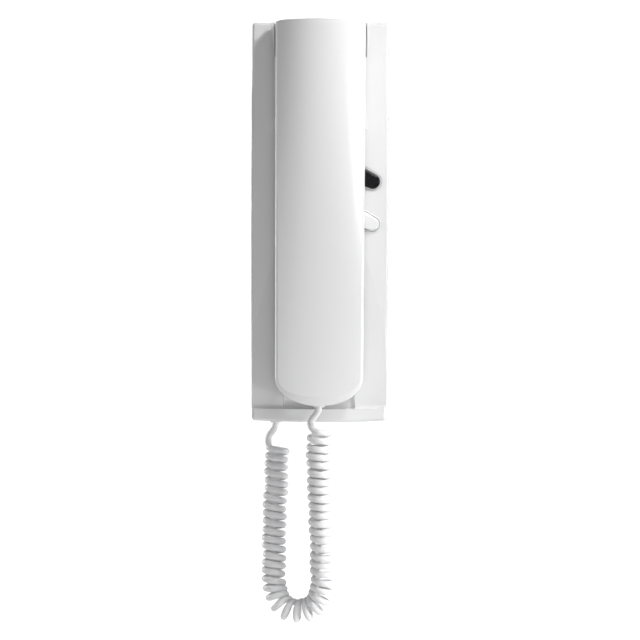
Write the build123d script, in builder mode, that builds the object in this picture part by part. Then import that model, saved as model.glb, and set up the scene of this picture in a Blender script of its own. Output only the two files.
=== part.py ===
"""A slimline wall phone: a flat wall unit, a half-pipe handset that hangs on it, and a curly cord.

Millimetres. X runs to the right, +Y into the wall, +Z up. The origin is the centre of the wall
unit's rear face. A depth is a distance out from the wall, so depth d lies on the plane y = -d.
"""

import math
import os

from build123d import *

os.makedirs("parts", exist_ok=True)

# ---------------------------------------------------------------- driving dimensions
BASE_HEIGHT = 221.0
BASE_WIDTH_TOP = 76.0
BASE_WIDTH_MIDDLE = 76.8
BASE_WIDTH_LOW = 74.8
BASE_BOW = 0.9  # how far the lower edge bulges down in its middle
BASE_DEPTH = 25.0
COVER_WALL = 2.2
PLATE_THICK = 2.4
EDGE_ROUND = 1.6
CORNER_ROUND = 2.0

LIP_Z = -104.0  # top of the lip along the lower edge
SCOOP_TILT = 1.5  # degrees: the face's finger scoop deepens downwards
SCOOP_START_Z = 18.5
SCOOP_RADIUS = 304.0
WELL_TOP_Z = 96.0
WELL_STEP_Z = -58.0
WELL_HALF_WIDE = 19.8
WELL_HALF_NARROW = 15.5
WELL_DEPTH = 20.6  # depth of the well's floor
WELL_WALL = 2.4

HANDSET_TOP = 109.5
HANDSET_WIDTH_TOP = 49.8
HANDSET_WIDTH_LOW = 48.4
HANDSET_ROUND_Z = -86.5  # where the rounded lower end begins
HANDSET_ROUND = 15.3  # how far the rounded lower end reaches below that
HANDSET_BACK = 27.5
PARTING = 33.5
RIM = 39.5  # depth of the bevelled rim's outer edge
BEVEL_RUN = 9.6  # the bevel runs in this far at the sides
BEVEL_RATIO = 0.85
END_BEVEL = 1.36  # and this many times further at the lower end
RIM_ROUND = 2.0
SHELL_WALL = 2.0
FLARE = 2.6
SPINE_HALF_WIDE = 18.9
SPINE_HALF_NARROW = 14.6
SPINE_BACK = 21.2
GAP = 0.3

LIFT_ANGLE = 30.0  # degrees above level: the way the handset comes off its hook
LIFT = Vector(0, -math.cos(math.radians(LIFT_ANGLE)), math.sin(math.radians(LIFT_ANGLE)))

BUTTON_TIP = Vector(29.1, 22.4)
BUTTON_HEEL = Vector(22.6, 25.5)
TIP_RADIUS = 5.0
HEEL_RADIUS = 5.6
BUTTON_PITCH = 23.8
BUTTON_PROUD = 1.6
BUTTON_TRAVEL = 1.5

CORD = 3.7
COIL = 13.5


def front(depth):
    """The plane that faces the viewer at a distance from the wall."""
    return Plane.XZ.offset(depth)


# ---------------------------------------------------------------- shared outlines
def base_outline(inset):
    """Outline of the wall unit from the front, smaller by inset on every side."""
    top = BASE_WIDTH_TOP / 2 - inset
    middle = BASE_WIDTH_MIDDLE / 2 - inset
    low = BASE_WIDTH_LOW / 2 - inset
    high_z = BASE_HEIGHT / 2 - inset
    low_z = inset - BASE_HEIGHT / 2
    with BuildSketch() as outline:
        with BuildLine():
            Line((-top, high_z), (top, high_z))
            ThreePointArc((top, high_z), (middle, 0), (low, low_z))
            ThreePointArc((low, low_z), (0, low_z - BASE_BOW), (-low, low_z))
            ThreePointArc((-low, low_z), (-middle, 0), (-top, high_z))
        make_face()
    return outline.sketch_local


def handset_outline(inset, top_z=HANDSET_TOP, end_inset=None):
    """Outline of the handset from the front: near-parallel sides and a half-oval lower end.

    Args:
        inset: how much smaller it is at its sides.
        top_z: height of its square upper end.
        end_inset: how much shorter the half-oval is, the same as inset unless given.
    """
    end_round = HANDSET_ROUND - (inset if end_inset is None else end_inset)
    top = HANDSET_WIDTH_TOP / 2 - inset
    low = HANDSET_WIDTH_LOW / 2 - inset
    with BuildSketch() as outline:
        with BuildLine():
            Line((-low, HANDSET_ROUND_Z), (-top, top_z))
            Line((-top, top_z), (top, top_z))
            Line((top, top_z), (low, HANDSET_ROUND_Z))
            EllipticalCenterArc(
                (0, HANDSET_ROUND_Z), low, end_round, start_angle=180, arc_size=180
            )
        make_face()
    return outline.sketch_local


def arched_bar(sink):
    """A bar whose front is a half pipe: deeply arched at the ear end, nearly flat at the mouth.

    Args:
        sink: how far the arch lies behind the handset's outer surface.
    """
    half = 32.0
    # height of the section, depth of its crown, depth lost at the handset's edge
    stations = [(-112, 43.6, 3.0), (-40, 44.8, 4.3), (35, 46.9, 7.3), (125, 50.2, 12.0)]
    with BuildPart() as bar:
        for z, crown, fall in stations:
            edge = crown - fall * (half / (HANDSET_WIDTH_TOP / 2)) ** 2
            with BuildSketch(Plane.XY.offset(z)):
                with BuildLine():
                    Line((-half, -15), (half, -15))
                    Line((half, -15), (half, sink - edge))
                    ThreePointArc((half, sink - edge), (0, sink - crown), (-half, sink - edge))
                    Line((-half, sink - edge), (-half, -15))
                make_face()
        loft()
    return bar.part


def handset_body(inset, back, sink):
    """The handset's closed body in front of depth back, with a bevel round its sides and end."""
    tall = HANDSET_TOP + 30
    rim = RIM - inset * 0.6
    with BuildPart() as body:
        with BuildSketch(front(back)):
            add(handset_outline(inset, tall))
        extrude(amount=rim - back)
        with BuildSketch(front(rim)):
            add(handset_outline(inset, tall))
        with BuildSketch(front(rim + BEVEL_RUN / BEVEL_RATIO)):
            add(handset_outline(inset + BEVEL_RUN, tall, inset + BEVEL_RUN * END_BEVEL))
        loft()
        rim_edges = body.edges().filter_by_position(Axis.Y, -rim - 0.01, -rim + 0.01)
        fillet(rim_edges, RIM_ROUND - inset * 0.6)
        add(arched_bar(sink), mode=Mode.INTERSECT)
        split(bisect_by=Plane.XY.offset(HANDSET_TOP - inset), keep=Keep.BOTTOM)
    return body.part


def spine_outline(inset):
    """The raised spine on the handset's back: wide at the mouth, narrow behind the grip."""
    with BuildSketch() as outline:
        with Locations((0, -78.5)):
            RectangleRounded(2 * (SPINE_HALF_WIDE - inset), 38 - 2 * inset, 2.5 - inset * 0.8)
        with Locations((0, 4)):
            RectangleRounded(2 * (SPINE_HALF_NARROW - inset), 168 - 2 * inset, 2.5 - inset * 0.8)
    return outline.sketch_local


def teardrop(grow):
    """A button's outline: a big round heel drawn out to a smaller tip."""
    with BuildSketch() as outline:
        with Locations(BUTTON_TIP):
            Circle(TIP_RADIUS + grow)
        with Locations(BUTTON_HEEL):
            Circle(HEEL_RADIUS + grow)
        make_hull()
    return outline.sketch_local


# ---------------------------------------------------------------- wall unit: rear plate
BOX_SCREW_SPACING = 60.0
BOX_SCREW_RADIUS = 2.25
ENTRY_Z = 72.0
ENTRY_RADIUS = 9.0
COVER_POSTS = [(0, 91.0), (0, -50.0)]
BOARD_POSTS = [(-29, 51), (29, 51), (-29, -33), (29, -33)]
BOARD_BACK = 6.0
POST_TOP = WELL_DEPTH - WELL_WALL

with BuildPart() as back_plate:
    with BuildSketch(Plane.XZ):
        add(base_outline(COVER_WALL + 0.15))
    extrude(amount=PLATE_THICK)
    with BuildSketch(front(PLATE_THICK)):
        with Locations(*COVER_POSTS):
            Circle(3.5)
    extrude(amount=POST_TOP - PLATE_THICK)
    with BuildSketch(front(PLATE_THICK)):
        with Locations(*BOARD_POSTS):
            Circle(3.0)
    extrude(amount=BOARD_BACK - PLATE_THICK)
    with BuildSketch(front(POST_TOP)):
        with Locations(*COVER_POSTS):
            Circle(1.25)
    extrude(amount=-10, mode=Mode.SUBTRACT)
    with BuildSketch(front(BOARD_BACK)):
        with Locations(*BOARD_POSTS):
            Circle(1.0)
    extrude(amount=-4.5, mode=Mode.SUBTRACT)
    with BuildSketch(Plane.XZ):
        with Locations((-BOX_SCREW_SPACING / 2, ENTRY_Z), (BOX_SCREW_SPACING / 2, ENTRY_Z)):
            Circle(BOX_SCREW_RADIUS)
        with Locations((0, ENTRY_Z)):
            Circle(ENTRY_RADIUS)
    extrude(amount=PLATE_THICK, mode=Mode.SUBTRACT)
back_plate.part.label = "back_plate"
export_step(back_plate.part, "parts/back_plate.step")

# ---------------------------------------------------------------- wall unit: front cover
CORD_EXIT_X = -24.0
CORD_EXIT_DEPTH = 14.0
GROMMET_RADIUS = 3.4
HOOK_Z = 44.0
HOOK_HALF_WIDTH = 6.0
HOOK_THICK = 3.0
HOOK_REACH = 9.5
LEVER_SLOT = (7.0, 12.0, 14.0)  # width, height, centre height
SOUND_SLOTS = 5
LUG_Z = (50.9, 57.2)

scoop_low_depth = BASE_DEPTH - (SCOOP_START_Z - LIP_Z) * math.tan(math.radians(SCOOP_TILT))
scoop_axis = Vector(0, -math.sin(math.radians(SCOOP_TILT)), math.cos(math.radians(SCOOP_TILT)))
scoop_plane = Plane(
    origin=(0, -scoop_low_depth - SCOOP_RADIUS, LIP_Z), x_dir=(1, 0, 0), z_dir=scoop_axis
)
hook_plane = Plane(origin=(0, -(WELL_DEPTH - 1.5), HOOK_Z), x_dir=(1, 0, 0), z_dir=LIFT)

with BuildPart() as base_cover:
    with BuildSketch(Plane.XZ):
        add(base_outline(0))
    extrude(amount=BASE_DEPTH)
    fillet(base_cover.edges().filter_by(Axis.Y), CORNER_ROUND)
    fillet(base_cover.faces().sort_by(Axis.Y)[0].edges(), EDGE_ROUND)
    # finger scoop: a shallow tilted valley down to the lip
    with BuildSketch(scoop_plane.offset(-SCOOP_RADIUS * math.tan(math.radians(SCOOP_TILT)))):
        Circle(SCOOP_RADIUS)
    extrude(amount=BASE_HEIGHT, mode=Mode.SUBTRACT)
    fillet(base_cover.edges().filter_by_position(Axis.Z, LIP_Z - 0.5, LIP_Z + 0.5).sort_by(Axis.Y)[-1], 2.6)
    # inside: full width up to the well's floor, then beside the well
    with BuildSketch(Plane.XZ):
        add(base_outline(COVER_WALL))
    extrude(amount=POST_TOP, mode=Mode.SUBTRACT)
    for side in (-1, 1):
        with BuildSketch(front(POST_TOP)):
            with Locations((side * 28.4, -57)):
                Rectangle(13.6, 90)
        extrude(amount=1.9, mode=Mode.SUBTRACT)
        with BuildSketch(front(POST_TOP)):
            with Locations((side * 26.3, 47)):
                Rectangle(18.6, 118)
        extrude(amount=BASE_DEPTH - COVER_WALL - POST_TOP, mode=Mode.SUBTRACT)
    # well for the handset's spine
    with BuildSketch(front(WELL_DEPTH)):
        with Locations((0, (WELL_STEP_Z + LIP_Z) / 2)):
            Rectangle(2 * WELL_HALF_WIDE, WELL_STEP_Z - LIP_Z)
        with Locations((0, (WELL_TOP_Z + LIP_Z) / 2)):
            Rectangle(2 * WELL_HALF_NARROW, WELL_TOP_Z - LIP_Z)
    extrude(amount=BASE_DEPTH, mode=Mode.SUBTRACT)
    # hook that the handset hangs on, pointing the way the handset lifts off
    with BuildSketch(hook_plane):
        RectangleRounded(2 * HOOK_HALF_WIDTH, HOOK_THICK, 1.0)
    extrude(amount=HOOK_REACH)
    # rest lugs under the handset's sides
    with BuildSketch(front(BASE_DEPTH)):
        with Locations((-23.6, sum(LUG_Z) / 2), (23.6, sum(LUG_Z) / 2)):
            Rectangle(4.4, LUG_Z[1] - LUG_Z[0])
    extrude(amount=HANDSET_BACK - GAP - BASE_DEPTH)
    # slot for the hook lever, sound slots, cover screws, cord exit
    with BuildSketch(front(POST_TOP)):
        with Locations((0, LEVER_SLOT[2])):
            Rectangle(LEVER_SLOT[0], LEVER_SLOT[1])
        with Locations((0, -82)):
            with GridLocations(0, 3.6, 1, SOUND_SLOTS):
                SlotOverall(18, 1.6)
        with Locations(*COVER_POSTS):
            Circle(1.6)
    extrude(amount=BASE_DEPTH, mode=Mode.SUBTRACT)
    with BuildSketch(front(WELL_DEPTH - 1.4)):
        with Locations(*COVER_POSTS):
            Circle(3.0)
    extrude(amount=BASE_DEPTH, mode=Mode.SUBTRACT)
    with BuildSketch(Plane.XY.offset(-BASE_HEIGHT / 2 - 5)):
        with Locations((CORD_EXIT_X, -CORD_EXIT_DEPTH)):
            Circle(GROMMET_RADIUS)
    extrude(amount=5 + COVER_WALL + 2, mode=Mode.SUBTRACT)
    # holes for the two button bezels
    for drop in (0, BUTTON_PITCH):
        with BuildSketch(front(BASE_DEPTH - 5)):
            with Locations((0, -drop)):
                add(teardrop(0))
        extrude(amount=8, mode=Mode.SUBTRACT)
    # a fine shadow gap round the upper button's bezel
    with BuildSketch(front(BASE_DEPTH - 0.9)):
        add(teardrop(0.3))
    extrude(amount=3, mode=Mode.SUBTRACT)
base_cover.part.label = "base_cover"
export_step(base_cover.part, "parts/base_cover.step")

# ---------------------------------------------------------------- wall unit: cover screws
with BuildPart() as cover_screws:
    with BuildSketch(front(WELL_DEPTH - 1.4)):
        with Locations(*COVER_POSTS):
            Circle(2.8)
    extrude(amount=1.2)
    with BuildSketch(front(POST_TOP - 8)):
        with Locations(*COVER_POSTS):
            Circle(1.25)
    extrude(amount=8 + WELL_WALL - 1.4)
    with BuildSketch(front(WELL_DEPTH - 0.2)):
        with Locations(*COVER_POSTS):
            Rectangle(3.4, 0.7)
            Rectangle(0.7, 3.4)
    extrude(amount=-0.7, mode=Mode.SUBTRACT)
cover_screws.part.label = "cover_screws"
export_step(cover_screws.part, "parts/cover_screws.step")

# ---------------------------------------------------------------- wall unit: circuit board
BOARD_THICK = 1.6
BOARD_FRONT = BOARD_BACK + BOARD_THICK
BOARD_SIZE = (66.0, 94.0)
BOARD_Z = 9.0

with BuildPart() as main_board:
    with BuildSketch(front(BOARD_BACK)):
        with Locations((0, BOARD_Z)):
            RectangleRounded(*BOARD_SIZE, 2.0)
        with Locations(*BOARD_POSTS):
            Circle(1.3, mode=Mode.SUBTRACT)
    extrude(amount=BOARD_THICK)
main_board.part.label = "main_board"
export_step(main_board.part, "parts/main_board.step")

with BuildPart() as board_screws:
    with BuildSketch(front(BOARD_FRONT)):
        with Locations(*BOARD_POSTS):
            Circle(2.2)
    extrude(amount=1.4)
    with BuildSketch(front(BOARD_FRONT)):
        with Locations(*BOARD_POSTS):
            Circle(1.0)
    extrude(amount=-5.5)
    with BuildSketch(front(BOARD_FRONT + 1.4)):
        with Locations(*BOARD_POSTS):
            Rectangle(2.8, 0.6)
    extrude(amount=-0.6, mode=Mode.SUBTRACT)
board_screws.part.label = "board_screws"
export_step(board_screws.part, "parts/board_screws.step")

# ---------------------------------------------------------------- wall unit: wiring terminals
TERMINALS = 5
TERMINAL_PITCH = 5.08
TERMINAL_Z = 45.0

with BuildPart() as terminal_block:
    with BuildSketch(front(BOARD_FRONT)):
        with Locations((0, TERMINAL_Z)):
            Rectangle(TERMINALS * TERMINAL_PITCH, 8.0)
    extrude(amount=9.5)
    chamfer(terminal_block.edges().filter_by(Axis.X).group_by(Axis.Y)[0].sort_by(Axis.Z)[-1], 2.0)
    with BuildSketch(front(BOARD_FRONT + 9.5)):
        with Locations((0, TERMINAL_Z - 0.6)):
            with GridLocations(TERMINAL_PITCH, 0, TERMINALS, 1):
                Circle(1.9)
    extrude(amount=-5, mode=Mode.SUBTRACT)
    with BuildSketch(Plane.XY.offset(TERMINAL_Z + 4)):
        with Locations((0, -(BOARD_FRONT + 3.0))):
            with GridLocations(TERMINAL_PITCH, 0, TERMINALS, 1):
                Rectangle(2.8, 3.0)
    extrude(amount=-3.0, mode=Mode.SUBTRACT)
terminal_block.part.label = "terminal_block"
export_step(terminal_block.part, "parts/terminal_block.step")

with BuildPart() as terminal_screws:
    with BuildSketch(front(BOARD_FRONT + 4.5)):
        with Locations((0, TERMINAL_Z - 0.6)):
            with GridLocations(TERMINAL_PITCH, 0, TERMINALS, 1):
                Circle(1.8)
    extrude(amount=3.4)
    with BuildSketch(front(BOARD_FRONT + 7.9)):
        with Locations((0, TERMINAL_Z - 0.6)):
            with GridLocations(TERMINAL_PITCH, 0, TERMINALS, 1):
                Rectangle(3.0, 0.6)
    extrude(amount=-0.8, mode=Mode.SUBTRACT)
terminal_screws.part.label = "terminal_screws"
export_step(terminal_screws.part, "parts/terminal_screws.step")

# ---------------------------------------------------------------- wall unit: board components
with BuildPart() as capacitors:
    for x, z, radius, height in ((-23, 30, 3.15, 8), (-23, 21, 3.15, 8), (-24, 6, 4.0, 9)):
        with BuildSketch(front(BOARD_FRONT)):
            with Locations((x, z)):
                Circle(radius)
        extrude(amount=height)
capacitors.part.label = "capacitors"
export_step(capacitors.part, "parts/capacitors.step")

with BuildPart() as line_transformer:
    with BuildSketch(front(BOARD_FRONT)):
        with Locations((-20, -18)):
            Rectangle(14, 16)
    extrude(amount=2)
    with BuildSketch(front(BOARD_FRONT + 2)):
        with Locations((-20, -18)):
            Rectangle(8, 14)
    extrude(amount=7)
    with BuildSketch(front(BOARD_FRONT + 2)):
        with Locations((-20, -18)):
            Rectangle(14, 9)
    extrude(amount=6)
line_transformer.part.label = "line_transformer"
export_step(line_transformer.part, "parts/line_transformer.step")

with BuildPart() as speech_chip:
    with BuildSketch(front(BOARD_FRONT + 0.3)):
        with Locations((20, -24)):
            Rectangle(10, 6)
    extrude(amount=2.2)
    with BuildSketch(front(BOARD_FRONT)):
        with Locations((20, -20.4), (20, -27.6)):
            with GridLocations(1.27, 0, 7, 1):
                Rectangle(0.5, 1.2)
    extrude(amount=0.8)
speech_chip.part.label = "speech_chip"
export_step(speech_chip.part, "parts/speech_chip.step")

# ---------------------------------------------------------------- wall unit: call sounder
SOUNDER_Z = -82.0
with BuildPart() as call_sounder:
    with BuildSketch(front(PLATE_THICK)):
        with Locations((0, SOUNDER_Z)):
            Circle(14)
    extrude(amount=8)
    with BuildSketch(front(PLATE_THICK + 8)):
        with Locations((0, SOUNDER_Z)):
            Circle(11)
    extrude(amount=2.5)
    with BuildSketch(front(PLATE_THICK + 10.5)):
        with Locations((0, SOUNDER_Z)):
            Circle(2)
    extrude(amount=-2, mode=Mode.SUBTRACT)
call_sounder.part.label = "call_sounder"
export_step(call_sounder.part, "parts/call_sounder.step")

with BuildPart() as sounder_gasket:
    with BuildSketch(front(PLATE_THICK + 10.5)):
        with Locations((0, SOUNDER_Z)):
            Circle(11)
            Circle(9, mode=Mode.SUBTRACT)
    extrude(amount=POST_TOP - PLATE_THICK - 10.5)
sounder_gasket.part.label = "sounder_gasket"
export_step(sounder_gasket.part, "parts/sounder_gasket.step")

# ---------------------------------------------------------------- wall unit: hook switch
LEVER_PIVOT = Vector(0, -13.2, -6.0)
LEVER_WIDTH = 6.0
PIN_RADIUS = 1.5
PIN_CLEARANCE = 0.05
LEVER_NOSE_Z = LEVER_SLOT[2]

with BuildPart() as hook_bracket:
    with BuildSketch(front(BOARD_FRONT)):
        with Locations((0, LEVER_PIVOT.Z)):
            Rectangle(16, 10)
            Rectangle(9, 6.5, mode=Mode.SUBTRACT)
    extrude(amount=1.5)
    with BuildSketch(Plane.YZ.offset(-8)):
        with Locations((-(BOARD_FRONT + 3.8), LEVER_PIVOT.Z)):
            Rectangle(7.6, 7)
        with Locations((LEVER_PIVOT.Y, LEVER_PIVOT.Z)):
            Circle(3.5)
    extrude(amount=2.5)
    with BuildSketch(Plane.YZ.offset(5.5)):
        with Locations((-(BOARD_FRONT + 3.8), LEVER_PIVOT.Z)):
            Rectangle(7.6, 7)
        with Locations((LEVER_PIVOT.Y, LEVER_PIVOT.Z)):
            Circle(3.5)
    extrude(amount=2.5)
    with BuildSketch(Plane.YZ.offset(-10)):
        with Locations((LEVER_PIVOT.Y, LEVER_PIVOT.Z)):
            Circle(PIN_RADIUS)
    extrude(amount=20, mode=Mode.SUBTRACT)
hook_bracket.part.label = "hook_bracket"
export_step(hook_bracket.part, "parts/hook_bracket.step")

with BuildPart() as hook_pin:
    with BuildSketch(Plane.YZ.offset(-9)):
        with Locations((LEVER_PIVOT.Y, LEVER_PIVOT.Z)):
            Circle(PIN_RADIUS)
    extrude(amount=18)
    chamfer(hook_pin.edges().filter_by(GeomType.CIRCLE), 0.3)
hook_pin.part.label = "hook_pin"
export_step(hook_pin.part, "parts/hook_pin.step")

with BuildPart() as hook_lever:
    with BuildSketch(Plane.YZ.offset(-LEVER_WIDTH / 2)):
        with Locations((LEVER_PIVOT.Y, LEVER_PIVOT.Z)):
            Circle(3.0)
        with BuildLine():
            Polyline(
                (-12.4, LEVER_PIVOT.Z),
                (-15.4, LEVER_PIVOT.Z),
                (-16.4, 9.6),
                (-19.2, 10.2),
                (-20.9, 12.0),
                (-20.9, 15.6),
                (-19.0, 18.2),
                (-13.4, 18.2),
                (-12.4, LEVER_PIVOT.Z),
            )
        make_face()
    extrude(amount=LEVER_WIDTH)
    with BuildSketch(Plane.YZ.offset(-LEVER_WIDTH / 2)):
        with Locations((LEVER_PIVOT.Y, LEVER_PIVOT.Z)):
            Circle(PIN_RADIUS + PIN_CLEARANCE)
    extrude(amount=LEVER_WIDTH, mode=Mode.SUBTRACT)
hook_lever.part.label = "hook_lever"
export_step(hook_lever.part, "parts/hook_lever.step")

SPRING_WIRE = 0.5
with BuildPart() as hook_spring:
    with BuildLine() as spring_line:
        coil_line = Helix(
            pitch=0.6,
            height=1.8,
            radius=2.0,
            center=(3.35, LEVER_PIVOT.Y, LEVER_PIVOT.Z),
            direction=(1, 0, 0),
        )
        Line(coil_line @ 1, coil_line @ 1 + (coil_line % 1) * 3.2)
    with BuildSketch(Plane(origin=coil_line @ 0, z_dir=coil_line % 0)):
        Circle(SPRING_WIRE / 2)
    sweep(path=spring_line.wires()[0])
hook_spring.part.label = "hook_spring"
export_step(hook_spring.part, "parts/hook_spring.step")

with BuildPart() as hook_microswitch:
    with BuildSketch(front(BOARD_FRONT)):
        with Locations((0, 10)):
            Rectangle(6.0, 12.8)
    extrude(amount=3.2)
    with BuildSketch(front(BOARD_FRONT + 3.2)):
        with Locations((0, 13)):
            Rectangle(1.6, 2.4)
    extrude(amount=1.0)
hook_microswitch.part.label = "hook_microswitch"
export_step(hook_microswitch.part, "parts/hook_microswitch.step")

# ---------------------------------------------------------------- wall unit: the two buttons
BEZEL_WIDTH = 0.9
CAP_GAP = 0.15
CAP_ROUND = 1.4
FLANGE_FRONT = 22.3
STEM_BACK = 14.0
SWITCH_TOP = 11.0
SPRING_RADIUS = 3.3
SPRING_TURNS = 5


def build_button(name, drop):
    """Makes one push button with its bezel, return spring and switch.

    Args:
        name: the button's node name, which its other pieces' names begin with.
        drop: how far below the upper button it sits.
    """
    middle = (BUTTON_TIP + BUTTON_HEEL) / 2
    stem_x, stem_z = middle.X, middle.Y - drop

    with BuildPart() as bezel:
        with BuildSketch(front(BASE_DEPTH - COVER_WALL)):
            with Locations((0, -drop)):
                add(teardrop(0))
                add(teardrop(-BEZEL_WIDTH), mode=Mode.SUBTRACT)
        extrude(amount=COVER_WALL + 0.5)
        fillet(bezel.faces().sort_by(Axis.Y)[0].edges(), 0.3)
    bezel.part.label = name + "_bezel"
    export_step(bezel.part, "parts/" + name + "_bezel.step")

    with BuildPart() as cap:
        with BuildSketch(front(FLANGE_FRONT - 1.1)):
            with Locations((0, -drop)):
                add(teardrop(0))
        extrude(amount=1.1)
        with BuildSketch(front(FLANGE_FRONT)):
            with Locations((0, -drop)):
                add(teardrop(-BEZEL_WIDTH - CAP_GAP))
        extrude(amount=BASE_DEPTH + BUTTON_PROUD - FLANGE_FRONT)
        fillet(cap.faces().sort_by(Axis.Y)[0].edges(), CAP_ROUND)
        with BuildSketch(front(STEM_BACK)):
            with Locations((stem_x, stem_z)):
                Circle(2.4)
        extrude(amount=FLANGE_FRONT - 1.1 - STEM_BACK)
    cap.part.label = name
    export_step(cap.part, "parts/" + name + ".step")

    with BuildPart() as switch:
        with BuildSketch(front(BOARD_FRONT)):
            with Locations((stem_x, stem_z)):
                Rectangle(8.6, 8.6)
        extrude(amount=SWITCH_TOP - BOARD_FRONT)
        with BuildSketch(front(SWITCH_TOP)):
            with Locations((stem_x, stem_z)):
                Circle(1.7)
        extrude(amount=STEM_BACK - SWITCH_TOP - BUTTON_TRAVEL - 0.3)
    switch.part.label = name + "_switch"
    export_step(switch.part, "parts/" + name + "_switch.step")

    length = FLANGE_FRONT - 1.1 - SWITCH_TOP - SPRING_WIRE
    with BuildPart() as spring:
        with BuildLine() as spring_path:
            Helix(
                pitch=length / SPRING_TURNS,
                height=length,
                radius=SPRING_RADIUS,
                center=(stem_x, -SWITCH_TOP - SPRING_WIRE / 2, stem_z),
                direction=(0, -1, 0),
            )
        with BuildSketch(Plane(origin=spring_path.line @ 0, z_dir=spring_path.line % 0)):
            Circle(SPRING_WIRE / 2)
        sweep()
    spring.part.label = name + "_spring"
    export_step(spring.part, "parts/" + name + "_spring.step")


build_button("door_button", 0)
build_button("call_button", BUTTON_PITCH)

# ---------------------------------------------------------------- wall unit: cord entry
GROMMET_END_Z = -BASE_HEIGHT / 2 - 1.6

with BuildPart() as cord_grommet:
    with BuildSketch(Plane.XY.offset(GROMMET_END_Z)):
        with Locations((CORD_EXIT_X, -CORD_EXIT_DEPTH)):
            Circle(GROMMET_RADIUS - 0.05)
    extrude(amount=7.0)
    with BuildSketch(Plane.XY.offset(-BASE_HEIGHT / 2 + COVER_WALL + 0.3)):
        with Locations((CORD_EXIT_X, -CORD_EXIT_DEPTH)):
            Circle(GROMMET_RADIUS + 0.7)
    extrude(amount=1.6)
    fillet(cord_grommet.edges().group_by(Axis.Z)[0], 0.6)
cord_grommet.part.label = "cord_grommet"
export_step(cord_grommet.part, "parts/cord_grommet.step")

with BuildPart() as base_lead:
    with BuildLine() as lead_line:
        FilletPolyline(
            (CORD_EXIT_X, -CORD_EXIT_DEPTH, GROMMET_END_Z + 7.0),
            (CORD_EXIT_X, -CORD_EXIT_DEPTH, -88),
            (CORD_EXIT_X - 3, -10.4, -62),
            (CORD_EXIT_X + 19, -10.4, -47),
            (CORD_EXIT_X + 19, -10.4, -35.6),
            radius=5.0,
        )
    with BuildSketch(Plane(origin=lead_line.line @ 0, z_dir=(0, 0, 1))):
        Circle(1.5)
    sweep()
base_lead.part.label = "base_lead"
export_step(base_lead.part, "parts/base_lead.step")

with BuildPart() as lead_header:
    with BuildSketch(front(BOARD_FRONT)):
        with Locations((CORD_EXIT_X + 19, -32.6)):
            Rectangle(10.2, 6.0)
    extrude(amount=5.6)
lead_header.part.label = "lead_header"
export_step(lead_header.part, "parts/lead_header.step")

# ---------------------------------------------------------------- handset: front shell
SCREW_SPOTS = [(-18.4, 97), (18.4, 97), (-18.2, -50), (18.2, -50)]

with BuildPart() as handset_front:
    add(handset_body(0, PARTING, 0))
    fillet(handset_front.edges().filter_by(Axis.Y).group_by(Axis.Z)[-1], 1.5)
    add(handset_body(SHELL_WALL, PARTING - 1, SHELL_WALL), mode=Mode.SUBTRACT)
    with BuildSketch(front(HANDSET_BACK + 2.3)):
        with Locations(*SCREW_SPOTS):
            Circle(3.0)
    extrude(amount=12.5)
    with BuildSketch(front(HANDSET_BACK + 2.3)):
        with Locations(*SCREW_SPOTS):
            Circle(1.2)
    extrude(amount=9.5, mode=Mode.SUBTRACT)
    add(handset_body(0, HANDSET_BACK, 0), mode=Mode.INTERSECT)
    with BuildSketch(Plane.XY.offset(HANDSET_ROUND_Z - HANDSET_ROUND - 2)):
        with Locations((0, -PARTING)):
            Circle(3.2)
    extrude(amount=8, mode=Mode.SUBTRACT)
handset_front.part.label = "handset_front"
export_step(handset_front.part, "parts/handset_front.step")

# ---------------------------------------------------------------- handset: back shell
EAR_Z = 72.0
MOUTH_Z = -85.0

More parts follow.
